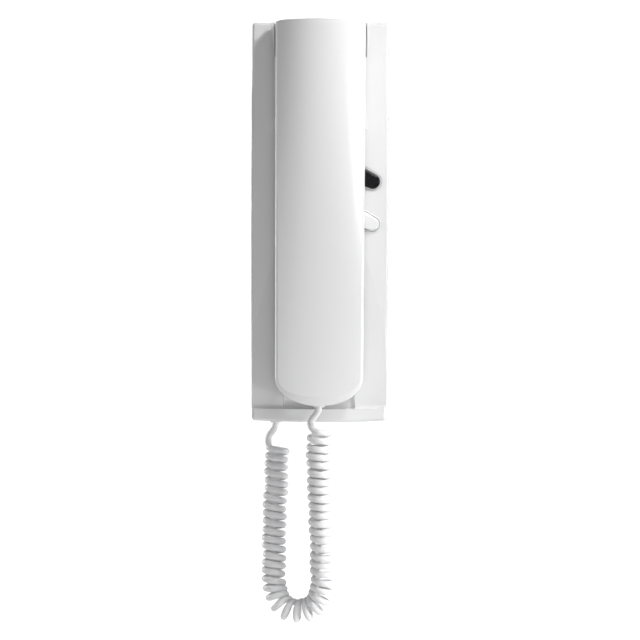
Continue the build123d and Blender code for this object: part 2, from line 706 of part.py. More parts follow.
with BuildPart() as handset_back:
    with BuildSketch(front(HANDSET_BACK)):
        add(handset_outline(0))
    extrude(amount=PARTING - GAP / 2 - HANDSET_BACK)
    # the ear end flares a little wider than the front shell
    with BuildSketch(front(HANDSET_BACK)):
        with BuildLine():
            half = HANDSET_WIDTH_TOP / 2
            Polyline(
                (-half - FLARE, HANDSET_TOP),
                (half + FLARE, HANDSET_TOP),
                (half + 0.8, HANDSET_TOP - 17),
                (half - 0.2, HANDSET_TOP - 34),
                (0.2 - half, HANDSET_TOP - 34),
                (-half - 0.8, HANDSET_TOP - 17),
                (-half - FLARE, HANDSET_TOP),
            )
        make_face()
    extrude(amount=PARTING - GAP / 2 - HANDSET_BACK)
    fillet(handset_back.edges().filter_by(Axis.Y).group_by(Axis.Z)[-1], 1.5)
    with BuildSketch(front(SPINE_BACK)):
        add(spine_outline(0))
    extrude(amount=HANDSET_BACK - SPINE_BACK)
    # shadow groove along the front shell's foot, where the flare stands out beyond it
    for side in (-1, 1):
        with BuildSketch(front(PARTING - GAP / 2 - 2.4)):
            with Locations((side * (HANDSET_WIDTH_TOP / 2 + 0.15), HANDSET_TOP - 4)):
                Rectangle(1.0, 30)
        extrude(amount=2.4, mode=Mode.SUBTRACT)
    # inside of the tray and of the spine
    with BuildSketch(front(HANDSET_BACK + 2.2)):
        add(handset_outline(SHELL_WALL, HANDSET_TOP - SHELL_WALL))
    extrude(amount=10, mode=Mode.SUBTRACT)
    with BuildSketch(front(SPINE_BACK + 2.0)):
        add(spine_outline(2.0))
    extrude(amount=10, mode=Mode.SUBTRACT)
    # screw holes with countersunk seats
    with BuildSketch(front(HANDSET_BACK)):
        with Locations(*SCREW_SPOTS):
            Circle(1.6)
    extrude(amount=3, mode=Mode.SUBTRACT)
    with BuildSketch(front(HANDSET_BACK)):
        with Locations(*SCREW_SPOTS):
            Circle(2.7)
    extrude(amount=1.2, mode=Mode.SUBTRACT)
    # sound holes at the ear and the mouth
    with BuildSketch(front(SPINE_BACK)):
        with Locations((0, EAR_Z)):
            Circle(0.9)
            with PolarLocations(3.6, 6):
                Circle(0.9)
            with PolarLocations(7.2, 12):
                Circle(0.9)
        with Locations((0, MOUTH_Z)):
            Circle(0.8)
            with PolarLocations(2.8, 6):
                Circle(0.8)
    extrude(amount=2.0, mode=Mode.SUBTRACT)
    # pocket that drops over the wall unit's hook
    with BuildSketch(hook_plane):
        RectangleRounded(2 * HOOK_HALF_WIDTH + 1.0, HOOK_THICK + 0.9, 1.4)
    extrude(amount=30, mode=Mode.SUBTRACT)
    # notch for the cord
    with BuildSketch(Plane.XY.offset(HANDSET_ROUND_Z - HANDSET_ROUND - 2)):
        with Locations((0, -PARTING)):
            Circle(3.2)
    extrude(amount=8, mode=Mode.SUBTRACT)
handset_back.part.label = "handset_back"
export_step(handset_back.part, "parts/handset_back.step")

with BuildPart() as handset_screws:
    with BuildSketch(front(HANDSET_BACK)):
        with Locations(*SCREW_SPOTS):
            Circle(2.6)
    extrude(amount=1.2)
    with BuildSketch(front(HANDSET_BACK + 1.2)):
        with Locations(*SCREW_SPOTS):
            Circle(1.2)
    extrude(amount=8.5)
    with BuildSketch(front(HANDSET_BACK)):
        with Locations(*SCREW_SPOTS):
            Rectangle(3.2, 0.6)
            Rectangle(0.6, 3.2)
    extrude(amount=0.7, mode=Mode.SUBTRACT)
handset_screws.part.label = "handset_screws"
export_step(handset_screws.part, "parts/handset_screws.step")

# ---------------------------------------------------------------- handset: earpiece and microphone
with BuildPart() as earpiece_gasket:
    with BuildSketch(front(SPINE_BACK + 2.0)):
        with Locations((0, EAR_Z)):
            Circle(12)
            Circle(9.2, mode=Mode.SUBTRACT)
    extrude(amount=1.2)
earpiece_gasket.part.label = "earpiece_gasket"
export_step(earpiece_gasket.part, "parts/earpiece_gasket.step")

with BuildPart() as earpiece_capsule:
    with BuildSketch(front(SPINE_BACK + 3.2)):
        with Locations((0, EAR_Z)):
            Circle(12)
    extrude(amount=6)
    with BuildSketch(front(SPINE_BACK + 9.2)):
        with Locations((0, EAR_Z)):
            Circle(7.5)
    extrude(amount=4)
    fillet(earpiece_capsule.edges().group_by(Axis.Y)[0], 0.8)
earpiece_capsule.part.label = "earpiece_capsule"
export_step(earpiece_capsule.part, "parts/earpiece_capsule.step")

with BuildPart() as microphone_boot:
    with BuildSketch(front(SPINE_BACK + 2.0)):
        with Locations((0, MOUTH_Z)):
            Circle(6.5)
    extrude(amount=7.5)
    with BuildSketch(front(SPINE_BACK + 2.0)):
        with Locations((0, MOUTH_Z)):
            Circle(4.9)
    extrude(amount=7.5, mode=Mode.SUBTRACT)
microphone_boot.part.label = "microphone_boot"
export_step(microphone_boot.part, "parts/microphone_boot.step")

with BuildPart() as microphone_capsule:
    with BuildSketch(front(SPINE_BACK + 2.6)):
        with Locations((0, MOUTH_Z)):
            Circle(4.85)
    extrude(amount=6.5)
microphone_capsule.part.label = "microphone_capsule"
export_step(microphone_capsule.part, "parts/microphone_capsule.step")

with BuildPart() as ballast_weight:
    with BuildSketch(front(SPINE_BACK + 2.0)):
        with Locations((0, -12)):
            RectangleRounded(22, 56, 1.5)
    extrude(amount=7.0)
    chamfer(ballast_weight.edges().group_by(Axis.Y)[0], 0.5)
ballast_weight.part.label = "ballast_weight"
export_step(ballast_weight.part, "parts/ballast_weight.step")

# ---------------------------------------------------------------- handset: cord anchor and lead
RELIEF_END_Z = HANDSET_ROUND_Z - HANDSET_ROUND - 0.9

with BuildPart() as handset_relief:
    with BuildSketch(Plane.XY.offset(RELIEF_END_Z)):
        with Locations((0, -PARTING)):
            Circle(3.1)
    extrude(amount=5.5)
    with BuildSketch(Plane.XY.offset(HANDSET_ROUND_Z - HANDSET_ROUND + SHELL_WALL + 0.4)):
        with Locations((0, -PARTING)):
            Rectangle(10.6, 6.2)
    extrude(amount=1.6)
    fillet(handset_relief.edges().group_by(Axis.Z)[0], 0.5)
handset_relief.part.label = "handset_relief"
export_step(handset_relief.part, "parts/handset_relief.step")

with BuildPart() as handset_lead:
    with BuildLine() as wire_line:
        FilletPolyline(
            (0, -PARTING, RELIEF_END_Z + 5.5),
            (0, -PARTING, -91),
            (7.5, -PARTING, -84),
            (9.5, -PARTING, -30),
            (9.5, -35.5, 40),
            (4.5, -36.6, EAR_Z - 6),
            (4.5, -36.6, EAR_Z),
            radius=3.0,
        )
    with BuildSketch(Plane(origin=wire_line.line @ 0, z_dir=(0, 0, 1))):
        Circle(1.1)
    sweep()
handset_lead.part.label = "handset_lead"
export_step(handset_lead.part, "parts/handset_lead.step")

# ---------------------------------------------------------------- curly cord
HANDSET_TAIL = [
    (0.0, -33.5, RELIEF_END_Z),
    (0.0, -33.5, -106.1),
    (-4.3, -33.5, -111.0),
    (-4.3, -33.5, -115.2),
]
COIL_LINE = [
    (-0.2, -33.4, -115.2),
    (-0.2, -33.4, -136.0),
    (1.0, -32.8, -157.0),
    (1.9, -32.0, -177.0),
    (2.4, -30.6, -194.0),
    (2.0, -28.6, -208.7),
    (-5.7, -25.3, -216.4),
    (-16.7, -20.3, -216.4),
    (-24.4, -17.0, -208.7),
    (-24.8, -15.6, -194.0),
    (-24.7, -15.0, -177.0),
    (-24.6, -14.8, -160.0),
    (-23.4, -14.6, -142.0),
    (-23.4, -14.6, -125.2),
]
BASE_TAIL = [
    (CORD_EXIT_X, -CORD_EXIT_DEPTH, GROMMET_END_Z),
    (CORD_EXIT_X, -CORD_EXIT_DEPTH, -114.8),
    (-25.9, -14.3, -118.2),
    (-28.2, -14.6, -121.3),
    (-28.2, -14.6, -125.2),
]


def route(points):
    """Straight runs joined by arcs as large as the runs allow, and the list of their radii."""
    spots = [Vector(*p) for p in points]
    radii = []
    for before, corner, after in zip(spots, spots[1:], spots[2:]):
        run_in, run_out = corner - before, after - corner
        turn = run_in.get_angle(run_out)
        shorter = min(run_in.length, run_out.length)
        radii.append(0.45 * shorter / math.tan(math.radians(turn / 2)))
    return spots, radii


def lay_tube(name, line, diameter):
    """A plain tube along a line, written as its own piece."""
    with BuildPart() as tube:
        with BuildSketch(Plane(origin=line @ 0, z_dir=line % 0)):
            Circle(diameter / 2)
        sweep(path=line)
    tube.part.label = name
    export_step(tube.part, "parts/" + name + ".step")
    expected = math.pi * diameter**2 / 4 * line.length
    print(f"{name}: {line.length:.1f} mm long, volume {tube.part.volume / expected:.3f} of expected")


for name, points in (("cord_handset_tail", HANDSET_TAIL), ("cord_base_tail", BASE_TAIL)):
    spots, radii = route(points)
    with BuildLine() as tail:
        FilletPolyline(*spots, radius=radii)
    lay_tube(name, tail.wire(), CORD)
    print(name, "radii", [round(r, 1) for r in radii])

# The coil's tube is cut in the middle of its lowest run, so each half can follow its own end.
LOWEST = 6
spots, radii = route(COIL_LINE)
cut = (spots[LOWEST] + spots[LOWEST + 1]) / 2
print("coil radii", [round(r, 1) for r in radii])
for name, run, run_radii in (
    ("coil_handset_side", spots[: LOWEST + 1] + [cut], radii[:LOWEST]),
    ("coil_base_side", [cut] + spots[LOWEST + 1 :], radii[LOWEST:]),
):
    with BuildLine() as half_coil:
        FilletPolyline(*run, radius=run_radii)
    lay_tube(name, half_coil.wire(), COIL)
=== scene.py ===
"""A slim white wall phone: flat wall unit, half-pipe handset, oval push buttons and a curly cord.

Every length is in metres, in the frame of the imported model: +X to the right as seen by a
caller, +Y into the wall, +Z up, with the origin in the middle of the unit's rear face.
"""

import logging
import math
from collections.abc import Iterable
from dataclasses import dataclass
from enum import Enum

import bpy
from mathutils import Matrix, Vector


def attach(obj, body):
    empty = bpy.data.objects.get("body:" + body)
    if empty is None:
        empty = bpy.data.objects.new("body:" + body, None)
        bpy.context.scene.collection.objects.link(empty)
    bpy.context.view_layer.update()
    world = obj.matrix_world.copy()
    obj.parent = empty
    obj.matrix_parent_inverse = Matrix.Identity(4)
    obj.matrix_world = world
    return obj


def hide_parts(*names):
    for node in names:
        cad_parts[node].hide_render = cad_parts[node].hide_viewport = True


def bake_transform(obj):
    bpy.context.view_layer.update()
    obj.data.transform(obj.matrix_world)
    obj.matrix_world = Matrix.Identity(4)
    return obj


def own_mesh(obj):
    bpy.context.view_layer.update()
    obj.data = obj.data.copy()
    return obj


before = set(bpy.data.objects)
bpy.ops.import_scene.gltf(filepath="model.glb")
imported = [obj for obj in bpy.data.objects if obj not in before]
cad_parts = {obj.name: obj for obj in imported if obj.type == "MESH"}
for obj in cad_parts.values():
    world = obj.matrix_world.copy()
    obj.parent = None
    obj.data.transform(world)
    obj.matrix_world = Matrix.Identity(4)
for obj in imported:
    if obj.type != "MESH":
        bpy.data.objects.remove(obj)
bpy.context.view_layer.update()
MM = 0.001

logging.basicConfig(level=logging.INFO, format="%(message)s")
log = logging.getLogger("wall_phone")

Point = tuple[float, float, float]
Colour = tuple[float, float, float]


class Body(str, Enum):
    """The rigid bodies that pieces ride on."""

    BASE = "base"
    HANDSET = "handset"
    DOOR = "door_button"
    CALL = "call_button"


# ------------------------------------------------------------------ shader maths


class Wire:
    """One output socket of a shader tree, which takes part in sums like a number."""

    def __init__(self, bench: "Bench", socket: bpy.types.NodeSocket) -> None:
        """Holds the socket.

        Args:
            bench: the material's node bench, which adds further nodes.
            socket: the output that this wire leads from.
        """
        self.bench = bench
        self.socket = socket

    def _maths(self, operation: str, first: "Wire | float", second: "Wire | float") -> "Wire":
        """Adds a Math node.

        Args:
            operation: the node's operation.
            first: its first value.
            second: its second value.

        Returns:
            The node's output.
        """
        return self.bench.node("ShaderNodeMath", {"operation": operation}, {0: first, 1: second})

    def __add__(self, other: "Wire | float") -> "Wire":
        """self + other."""
        return self._maths("ADD", self, other)

    __radd__ = __add__

    def __sub__(self, other: "Wire | float") -> "Wire":
        """self - other."""
        return self._maths("SUBTRACT", self, other)

    def __rsub__(self, other: "Wire | float") -> "Wire":
        """other - self."""
        return self._maths("SUBTRACT", other, self)

    def __mul__(self, other: "Wire | float") -> "Wire":
        """self * other."""
        return self._maths("MULTIPLY", self, other)

    __rmul__ = __mul__

    def __pow__(self, other: "Wire | float") -> "Wire":
        """self ** other."""
        return self._maths("POWER", self, other)

    def clipped(self) -> "Wire":
        """The value held between 0 and 1."""
        return self.bench.node("ShaderNodeClamp", {}, {"Value": self})


class Bench:
    """A material's node tree, with one method that adds any node."""

    def __init__(self, name: str) -> None:
        """Starts an empty material.

        Args:
            name: the material's name.
        """
        self.material = bpy.data.materials.new(name)
        self.material.use_nodes = True
        self.tree = self.material.node_tree
        self.tree.nodes.clear()
        self.place = self.node("ShaderNodeTexCoord", {}, {}, output="Object")

    def node(
        self,
        kind: str,
        settings: dict[str, object],
        sockets: dict[str | int, object],
        output: str | int | None = 0,
    ) -> Wire | None:
        """Adds a node.

        Args:
            kind: the node's type.
            settings: its properties, and the stops of a ramp as {"stops": [(place, colour)]}.
            sockets: a value or a wire for each of its inputs.
            output: the output that is wanted, or None for a node that has none.

        Returns:
            That output as a wire.
        """
        made = self.tree.nodes.new(kind)
        for key, value in settings.items():
            if key == "stops":
                self._set_stops(made, value)
            else:
                setattr(made, key, value)
        for key, value in sockets.items():
            if isinstance(value, Wire):
                self.tree.links.new(value.socket, made.inputs[key])
            else:
                made.inputs[key].default_value = value
        return None if output is None else Wire(self, made.outputs[output])

    @staticmethod
    def _set_stops(ramp: bpy.types.Node, stops: list[tuple[float, Colour]]) -> None:
        """Gives a colour ramp its stops.

        Args:
            ramp: the ColorRamp node.
            stops: the place and colour of each stop.
        """
        elements = ramp.color_ramp.elements
        while len(elements) < len(stops):
            elements.new(0.5)
        for element, (place, colour) in zip(elements, stops):
            element.position = place
            element.color = (*colour, 1.0)

    def noise(
        self, scale: float, detail: float = 3.0, rough: float = 0.5, stretch: Point = (1, 1, 1)
    ) -> Wire:
        """A noise field from 0 to 1.

        Args:
            scale: how many lumps there are to a metre.
            detail: octaves of finer lumps.
            rough: how strong the finer lumps are.
            stretch: the field's scale along each axis.

        Returns:
            The noise value.
        """
        turned = self.node("ShaderNodeMapping", {}, {"Vector": self.place, "Scale": stretch})
        sockets = {"Vector": turned, "Scale": scale, "Detail": detail, "Roughness": rough}
        return self.node("ShaderNodeTexNoise", {}, sockets)

    def cells(self, scale: float, feature: str = "F1") -> Wire:
        """A Voronoi field of cells.

        Args:
            scale: how many cells there are to a metre.
            feature: which distance is read.

        Returns:
            The distance value.
        """
        sockets = {"Vector": self.place, "Scale": scale}
        return self.node("ShaderNodeTexVoronoi", {"feature": feature}, sockets, "Distance")

    def steps(self, value: Wire, low: float, high: float) -> Wire:
        """A mask that is 0 below low and 1 above high.

        Args:
            value: the field that is read.
            low: where the mask starts.
            high: where it is full.

        Returns:
            The mask.
        """
        sockets = {"Value": value, "From Min": low, "From Max": high}
        return self.node("ShaderNodeMapRange", {"interpolation_type": "SMOOTHSTEP"}, sockets)

    def mixed(self, mask: Wire | float, low: Wire | Colour, high: Wire | Colour) -> Wire:
        """A colour between two colours.

        Args:
            mask: 0 for the first colour and 1 for the second.
            low: the first colour.
            high: the second colour.

        Returns:
            The mixed colour.
        """
        ends = [c if isinstance(c, Wire) else (*c, 1.0) for c in (low, high)]
        settings = {"data_type": "RGBA"}
        return self.node("ShaderNodeMix", settings, {0: mask, 6: ends[0], 7: ends[1]}, 2)

    def eased_normal(self, radius: float) -> Wire:
        """A normal that rolls over the edges, as a moulded or pressed edge does.

        Args:
            radius: the edge's radius.

        Returns:
            The eased normal.
        """
        return self.node("ShaderNodeBevel", {"samples": 6}, {"Radius": radius})

    def bumped(self, height: Wire, depth: float, normal: Wire | None = None) -> Wire:
        """A bumped normal.

        Args:
            height: the height field, from 0 to 1.
            depth: the height of a full step.
            normal: the normal that the bump starts from.

        Returns:
            The bumped normal.
        """
        sockets = {"Height": height, "Distance": depth, "Strength": 1.0}
        if normal is not None:
            sockets["Normal"] = normal
        return self.node("ShaderNodeBump", {}, sockets)

    def finish(self, varying: dict[str, Wire | float], fixed: dict[str, object]) -> bpy.types.Material:
        """Ends the tree in a Principled shader.

        Args:
            varying: wires for the sockets that change over the surface.
            fixed: plain values for the shader's own sockets.

        Returns:
            The material.
        """
        shader = self.node("ShaderNodeBsdfPrincipled", {}, {**fixed, **varying})
        self.node("ShaderNodeOutputMaterial", {"target": "ALL"}, {"Surface": shader}, output=None)
        return self.material


# ------------------------------------------------------------------ finishes


@dataclass(frozen=True)
class Finish:
    """A finish that can be laid on a piece."""

    name: str
    colour: Colour

    def build(self) -> bpy.types.Material:
        """Makes the material."""
        raise NotImplementedError

    def material(self) -> bpy.types.Material:
        """The material, made once and then shared."""
        return bpy.data.materials.get(self.name) or self.build()


@dataclass(frozen=True)
class GlossPlastic(Finish):
    """Injection-moulded plastic from a polished tool."""

    roughness: float = 0.2
    edge: float = 0.35 * MM
    ripple: float = 0.012 * MM
    tint: float = 0.018
    coat: float = 0.0
    sheen: float = 0.5

    def build(self) -> bpy.types.Material:
        """A bright skin with faint flow marks, handling marks and eased edges."""
        bench = Bench(self.name)
        flow = bench.noise(38, 2.0, 0.45, (1.0, 1.0, 0.35))
        grease = bench.steps(bench.noise(38, 3.0, 0.5), 0.35, 0.85)
        specks = bench.steps(bench.noise(2600, 1.0, 0.5), 0.70, 0.78)
        warm = tuple(c * (1 - self.tint) for c in self.colour)
        shade = bench.mixed(flow, self.colour, (warm[0], warm[1], warm[2] * 0.985))
        shade = bench.mixed(specks * 0.05, shade, tuple(c * 0.82 for c in self.colour))
        peel = bench.noise(420, 2.0, 0.5) * 0.35 + flow * 1.0
        normal = bench.bumped(peel, self.ripple, bench.eased_normal(self.edge))
        rough = self.roughness + grease * 0.05 + specks * 0.03
        varying = {"Base Color": shade, "Roughness": rough, "Normal": normal}
        fixed = {
            "IOR": 1.53,
            "Specular IOR Level": self.sheen,
            "Coat Weight": self.coat,
            "Coat Roughness": 0.04,
        }
        return bench.finish(varying, fixed)


@dataclass(frozen=True)
class MattPlastic(Finish):
    """Moulded plastic from a spark-textured tool."""

    roughness: float = 0.52
    edge: float = 0.25 * MM
    grain: float = 1500
    depth: float = 0.02 * MM

    def build(self) -> bpy.types.Material:
        """A fine pebbled grain with a slow change of shade."""
        bench = Bench(self.name)
        pebble = bench.cells(self.grain)
        cloud = bench.noise(55, 3.0, 0.55)
        rubbed = bench.steps(bench.noise(140, 4.0, 0.65), 0.52, 0.72)
        dark = tuple(c * 0.88 for c in self.colour)
        shade = bench.mixed(cloud, dark, self.colour)
        shade = bench.mixed(rubbed * 0.12, shade, tuple(min(1.0, c * 1.15 + 0.02) for c in self.colour))
        height = pebble + bench.noise(self.grain * 0.6, 2.0) * 0.6
        normal = bench.bumped(height, self.depth, bench.eased_normal(self.edge))
        rough = self.roughness + (cloud - 0.5) * 0.12 - rubbed * 0.10
        return bench.finish({"Base Color": shade, "Roughness": rough, "Normal": normal}, {"IOR": 1.5})


@dataclass(frozen=True)
class Metal(Finish):
    """Plated, drawn or turned metal."""

    roughness: float = 0.28
    grain: Point = (1.0, 1.0, 14.0)
    edge: float = 0.08 * MM
    depth: float = 0.004 * MM

    def build(self) -> bpy.types.Material:
        """Streaks along the working direction, with dull spots in the plating."""
        bench = Bench(self.name)
        streak = bench.noise(900, 3.0, 0.6, self.grain)
        dull = bench.steps(bench.noise(420, 3.0, 0.6), 0.50, 0.72)
        shade = bench.mixed(streak, tuple(c * 0.82 for c in self.colour), self.colour)
        shade = bench.mixed(dull * 0.35, shade, tuple(c * 0.62 for c in self.colour))
        normal = bench.bumped(streak, self.depth, bench.eased_normal(self.edge))
        rough = self.roughness + (streak - 0.5) * 0.16 + dull * 0.14
        return bench.finish({"Base Color": shade, "Roughness": rough, "Normal": normal}, {"Metallic": 1.0})


@dataclass(frozen=True)
class Elastomer(Finish):
    """Soft moulded rubber."""

    roughness: float = 0.6

    def build(self) -> bpy.types.Material:
        """A dusty skin with a fine grain."""
        bench = Bench(self.name)
        dust = bench.steps(bench.noise(210, 5.0, 0.65), 0.44, 0.70)
        grain = bench.noise(3800, 2.0, 0.6)
        shade = bench.mixed(dust * 0.35, self.colour, tuple(c * 0.8 + 0.06 for c in self.colour))
        normal = bench.bumped(grain, 0.02 * MM, bench.eased_normal(0.2 * MM))
        rough = self.roughness + dust * 0.15
        return bench.finish({"Base Color": shade, "Roughness": rough, "Normal": normal}, {"IOR": 1.5})


@dataclass(frozen=True)
class Foam(Finish):
    """Closed-cell foam."""

    def build(self) -> bpy.types.Material:
        """Small open cells on the cut faces, with painted shade darkening their pits."""
        bench = Bench(self.name)
        pit_and_shade = bench.steps(bench.cells(1300), 0.05, 0.55)
        # The pits of the cells are painted darker than their rims: painted shade in the pits.
        shade = bench.mixed(pit_and_shade, tuple(c * 0.35 for c in self.colour), self.colour)
        normal = bench.bumped(pit_and_shade, 0.15 * MM)
        return bench.finish({"Base Color": shade, "Roughness": 0.85 + pit_and_shade * 0.1, "Normal": normal}, {})


@dataclass(frozen=True)
class BoardLaminate(Finish):
    """Glass-filled board with tracks under a solder mask."""

    def build(self) -> bpy.types.Material:
        """Square-cornered tracks that run under a green lacquer, over a woven core."""
        bench = Bench(self.name)
        turned = bench.node("ShaderNodeMapping", {}, {"Vector": bench.place, "Rotation": (math.pi / 2, 0, 0)})
        tracks = bench.node(
            "ShaderNodeTexBrick",
            {"offset": 0.35, "offset_frequency": 3, "squash": 1.7, "squash_frequency": 2},
            {"Vector": turned, "Scale": 120, "Mortar Size": 0.055, "Mortar Smooth": 0.2},
            "Fac",
        )
        pads = bench.steps(1.0 - bench.cells(330), 0.80, 0.84)
        weave = bench.node(
            "ShaderNodeTexWave",
            {"bands_direction": "X"},
            {"Vector": bench.place, "Scale": 700, "Distortion": 0.3},
        )
        raised = (tracks + pads).clipped()
        shade = bench.mixed(raised, self.colour, (0.16, 0.42, 0.20))
        shade = bench.mixed(pads, shade, (0.72, 0.70, 0.66))
        normal = bench.bumped(raised + weave * 0.15, 0.05 * MM)
        varying = {
            "Base Color": shade,
            "Roughness": 0.26 + weave * 0.08,
            "Metallic": pads * 0.9,
            "Normal": normal,
        }
        return bench.finish(varying, {"IOR": 1.5})


@dataclass(frozen=True)
class CordJacket(Finish):
    """The cord's flexible jacket, with marks that follow its length."""

    roughness: float = 0.27

    def build(self) -> bpy.types.Material:
        """Fine drawing lines along the jacket and a slight bloom from handling."""
        bench = Bench(self.name)
        along = bench.node("ShaderNodeUVMap", {"uv_map": "UVMap"}, {})
        lines = bench.node("ShaderNodeMapping", {}, {"Vector": along, "Scale": (120, 9, 1)})
        drawn = bench.node("ShaderNodeTexNoise", {}, {"Vector": lines, "Scale": 1.0, "Detail": 3.0})
        bloom = bench.steps(bench.noise(160, 4.0, 0.6), 0.45, 0.72)
        dulled = tuple(c * f for c, f in zip(self.colour, (0.975, 0.97, 0.955)))
        shade = bench.mixed(bloom, self.colour, dulled)
        height = drawn * 0.6 + bench.noise(1800, 2.0) * 0.4
        normal = bench.bumped(height, 0.012 * MM)
        rough = self.roughness + bloom * 0.12 + (drawn - 0.5) * 0.06
        varying = {"Base Color": shade, "Roughness": rough, "Normal": normal}
        depth = (0.002, 0.002, 0.002)
        return bench.finish(varying, {"IOR": 1.5, "Subsurface Weight": 0.12, "Subsurface Radius": depth})


@dataclass(frozen=True)
class Sleeve(Finish):
    """A printed plastic sleeve or wound tape, in bands."""

    band: Colour = (0.8, 0.8, 0.8)
    pitch: float = 300
    roughness: float = 0.35

    def build(self) -> bpy.types.Material:
        """Bands across the part with a faint shrink wrinkle."""
        bench = Bench(self.name)
        bands = bench.node(
            "ShaderNodeTexWave",
            {"bands_direction": "Z", "wave_profile": "SAW"},
            {"Vector": bench.place, "Scale": self.pitch, "Distortion": 0.4, "Detail": 1.0},
        )
        edge = bench.steps(bands, 0.86, 0.93)
        wrinkle = bench.noise(900, 3.0, 0.6)
        shade = bench.mixed(edge, self.colour, self.band)
        normal = bench.bumped(wrinkle + bands * 0.5, 0.03 * MM, bench.eased_normal(0.15 * MM))
        rough = self.roughness + wrinkle * 0.1
        return bench.finish({"Base Color": shade, "Roughness": rough, "Normal": normal}, {"IOR": 1.5})


WHITE_SHELL = GlossPlastic("white_shell", (0.86, 0.86, 0.87), roughness=0.22)
WHITE_KEY = GlossPlastic("white_key", (0.87, 0.87, 0.88), roughness=0.18, edge=0.25 * MM)
BLACK_KEY = GlossPlastic("black_key", (0.003, 0.003, 0.004), roughness=0.06, edge=0.1 * MM, sheen=0.22)
BEZEL_RING = GlossPlastic("bezel_ring", (0.74, 0.74, 0.75), roughness=0.3, edge=0.2 * MM)
REAR_PLATE = MattPlastic("rear_plate", (0.74, 0.74, 0.73))
LEVER_ACETAL = MattPlastic("lever_acetal", (0.66, 0.66, 0.62), roughness=0.4, depth=0.008 * MM)
SWITCH_NYLON = MattPlastic("switch_nylon", (0.03, 0.03, 0.033), roughness=0.48)
TERMINAL_NYLON = MattPlastic("terminal_nylon", (0.06, 0.2, 0.42), roughness=0.42, depth=0.012 * MM)
EPOXY = MattPlastic("epoxy_black", (0.02, 0.02, 0.022), roughness=0.55, grain=2600)
ZINC = Metal("zinc_plate", (0.74, 0.75, 0.77), roughness=0.26)
SPRING_WIRE = Metal("spring_wire", (0.6, 0.6, 0.62), roughness=0.22)
BALLAST = Metal("ballast_steel", (0.46, 0.46, 0.47), roughness=0.42, grain=(1.0, 8.0, 1.0))
CAPSULE_CAN = Metal("capsule_can", (0.8, 0.8, 0.81), roughness=0.24, grain=(6.0, 1.0, 6.0))
BLACK_RUBBER = Elastomer("black_rubber", (0.035, 0.035, 0.037))
WHITE_RUBBER = Elastomer("white_rubber", (0.80, 0.80, 0.80), roughness=0.42)
GASKET_FOAM = Foam("gasket_foam", (0.07, 0.07, 0.08))
LAMINATE = BoardLaminate("board_laminate", (0.018, 0.16, 0.06))
CAPACITOR = Sleeve("capacitor_sleeve", (0.02, 0.03, 0.09), band=(0.55, 0.57, 0.6), pitch=55, roughness=0.22)
TRANSFORMER = Sleeve("transformer_tape", (0.62, 0.46, 0.07), band=(0.12, 0.10, 0.09), pitch=70)
LEAD_SLEEVE = GlossPlastic("lead_sleeve", (0.78, 0.78, 0.77), roughness=0.35, edge=0.1 * MM)
CORD_WHITE = CordJacket("cord_jacket", (0.86, 0.86, 0.87))

NODE_FINISHES: dict[str, Finish] = {
    "back_plate": REAR_PLATE,
    "base_cover": WHITE_SHELL,
    "cover_screws": ZINC,
    "main_board": LAMINATE,
    "board_screws": ZINC,
    "terminal_block": TERMINAL_NYLON,
    "terminal_screws": ZINC,
    "capacitors": CAPACITOR,
    "line_transformer": TRANSFORMER,
    "speech_chip": EPOXY,
    "call_sounder": EPOXY,
    "sounder_gasket": GASKET_FOAM,
    "hook_bracket": LEVER_ACETAL,
    "hook_pin": ZINC,
    "hook_lever": LEVER_ACETAL,
    "hook_spring": SPRING_WIRE,
    "hook_microswitch": SWITCH_NYLON,
    "door_button": BLACK_KEY,
    "door_button_bezel": BEZEL_RING,
    "door_button_switch": SWITCH_NYLON,
    "door_button_spring": SPRING_WIRE,
    "call_button": WHITE_KEY,
    "call_button_bezel": WHITE_SHELL,
    "call_button_switch": SWITCH_NYLON,
    "call_button_spring": SPRING_WIRE,
    "cord_grommet": WHITE_RUBBER,
    "base_lead": LEAD_SLEEVE,
    "lead_header": SWITCH_NYLON,
    "handset_front": WHITE_SHELL,
    "handset_back": WHITE_SHELL,
    "handset_screws": ZINC,
    "earpiece_gasket": GASKET_FOAM,
    "earpiece_capsule": CAPSULE_CAN,
    "microphone_boot": BLACK_RUBBER,
    "microphone_capsule": CAPSULE_CAN,
    "ballast_weight": BALLAST,
    "handset_relief": WHITE_RUBBER,
    "handset_lead": LEAD_SLEEVE,
}


def dress(piece: bpy.types.Object, finish: Finish) -> None:
    """Lays one finish on a piece.

    Args:
        piece: the mesh object.
        finish: its finish.
    """
    if not piece.material_slots:
        piece.data.materials.append(finish.material())
    for slot in piece.material_slots:
        slot.material = finish.material()


# ------------------------------------------------------------------ curly cord


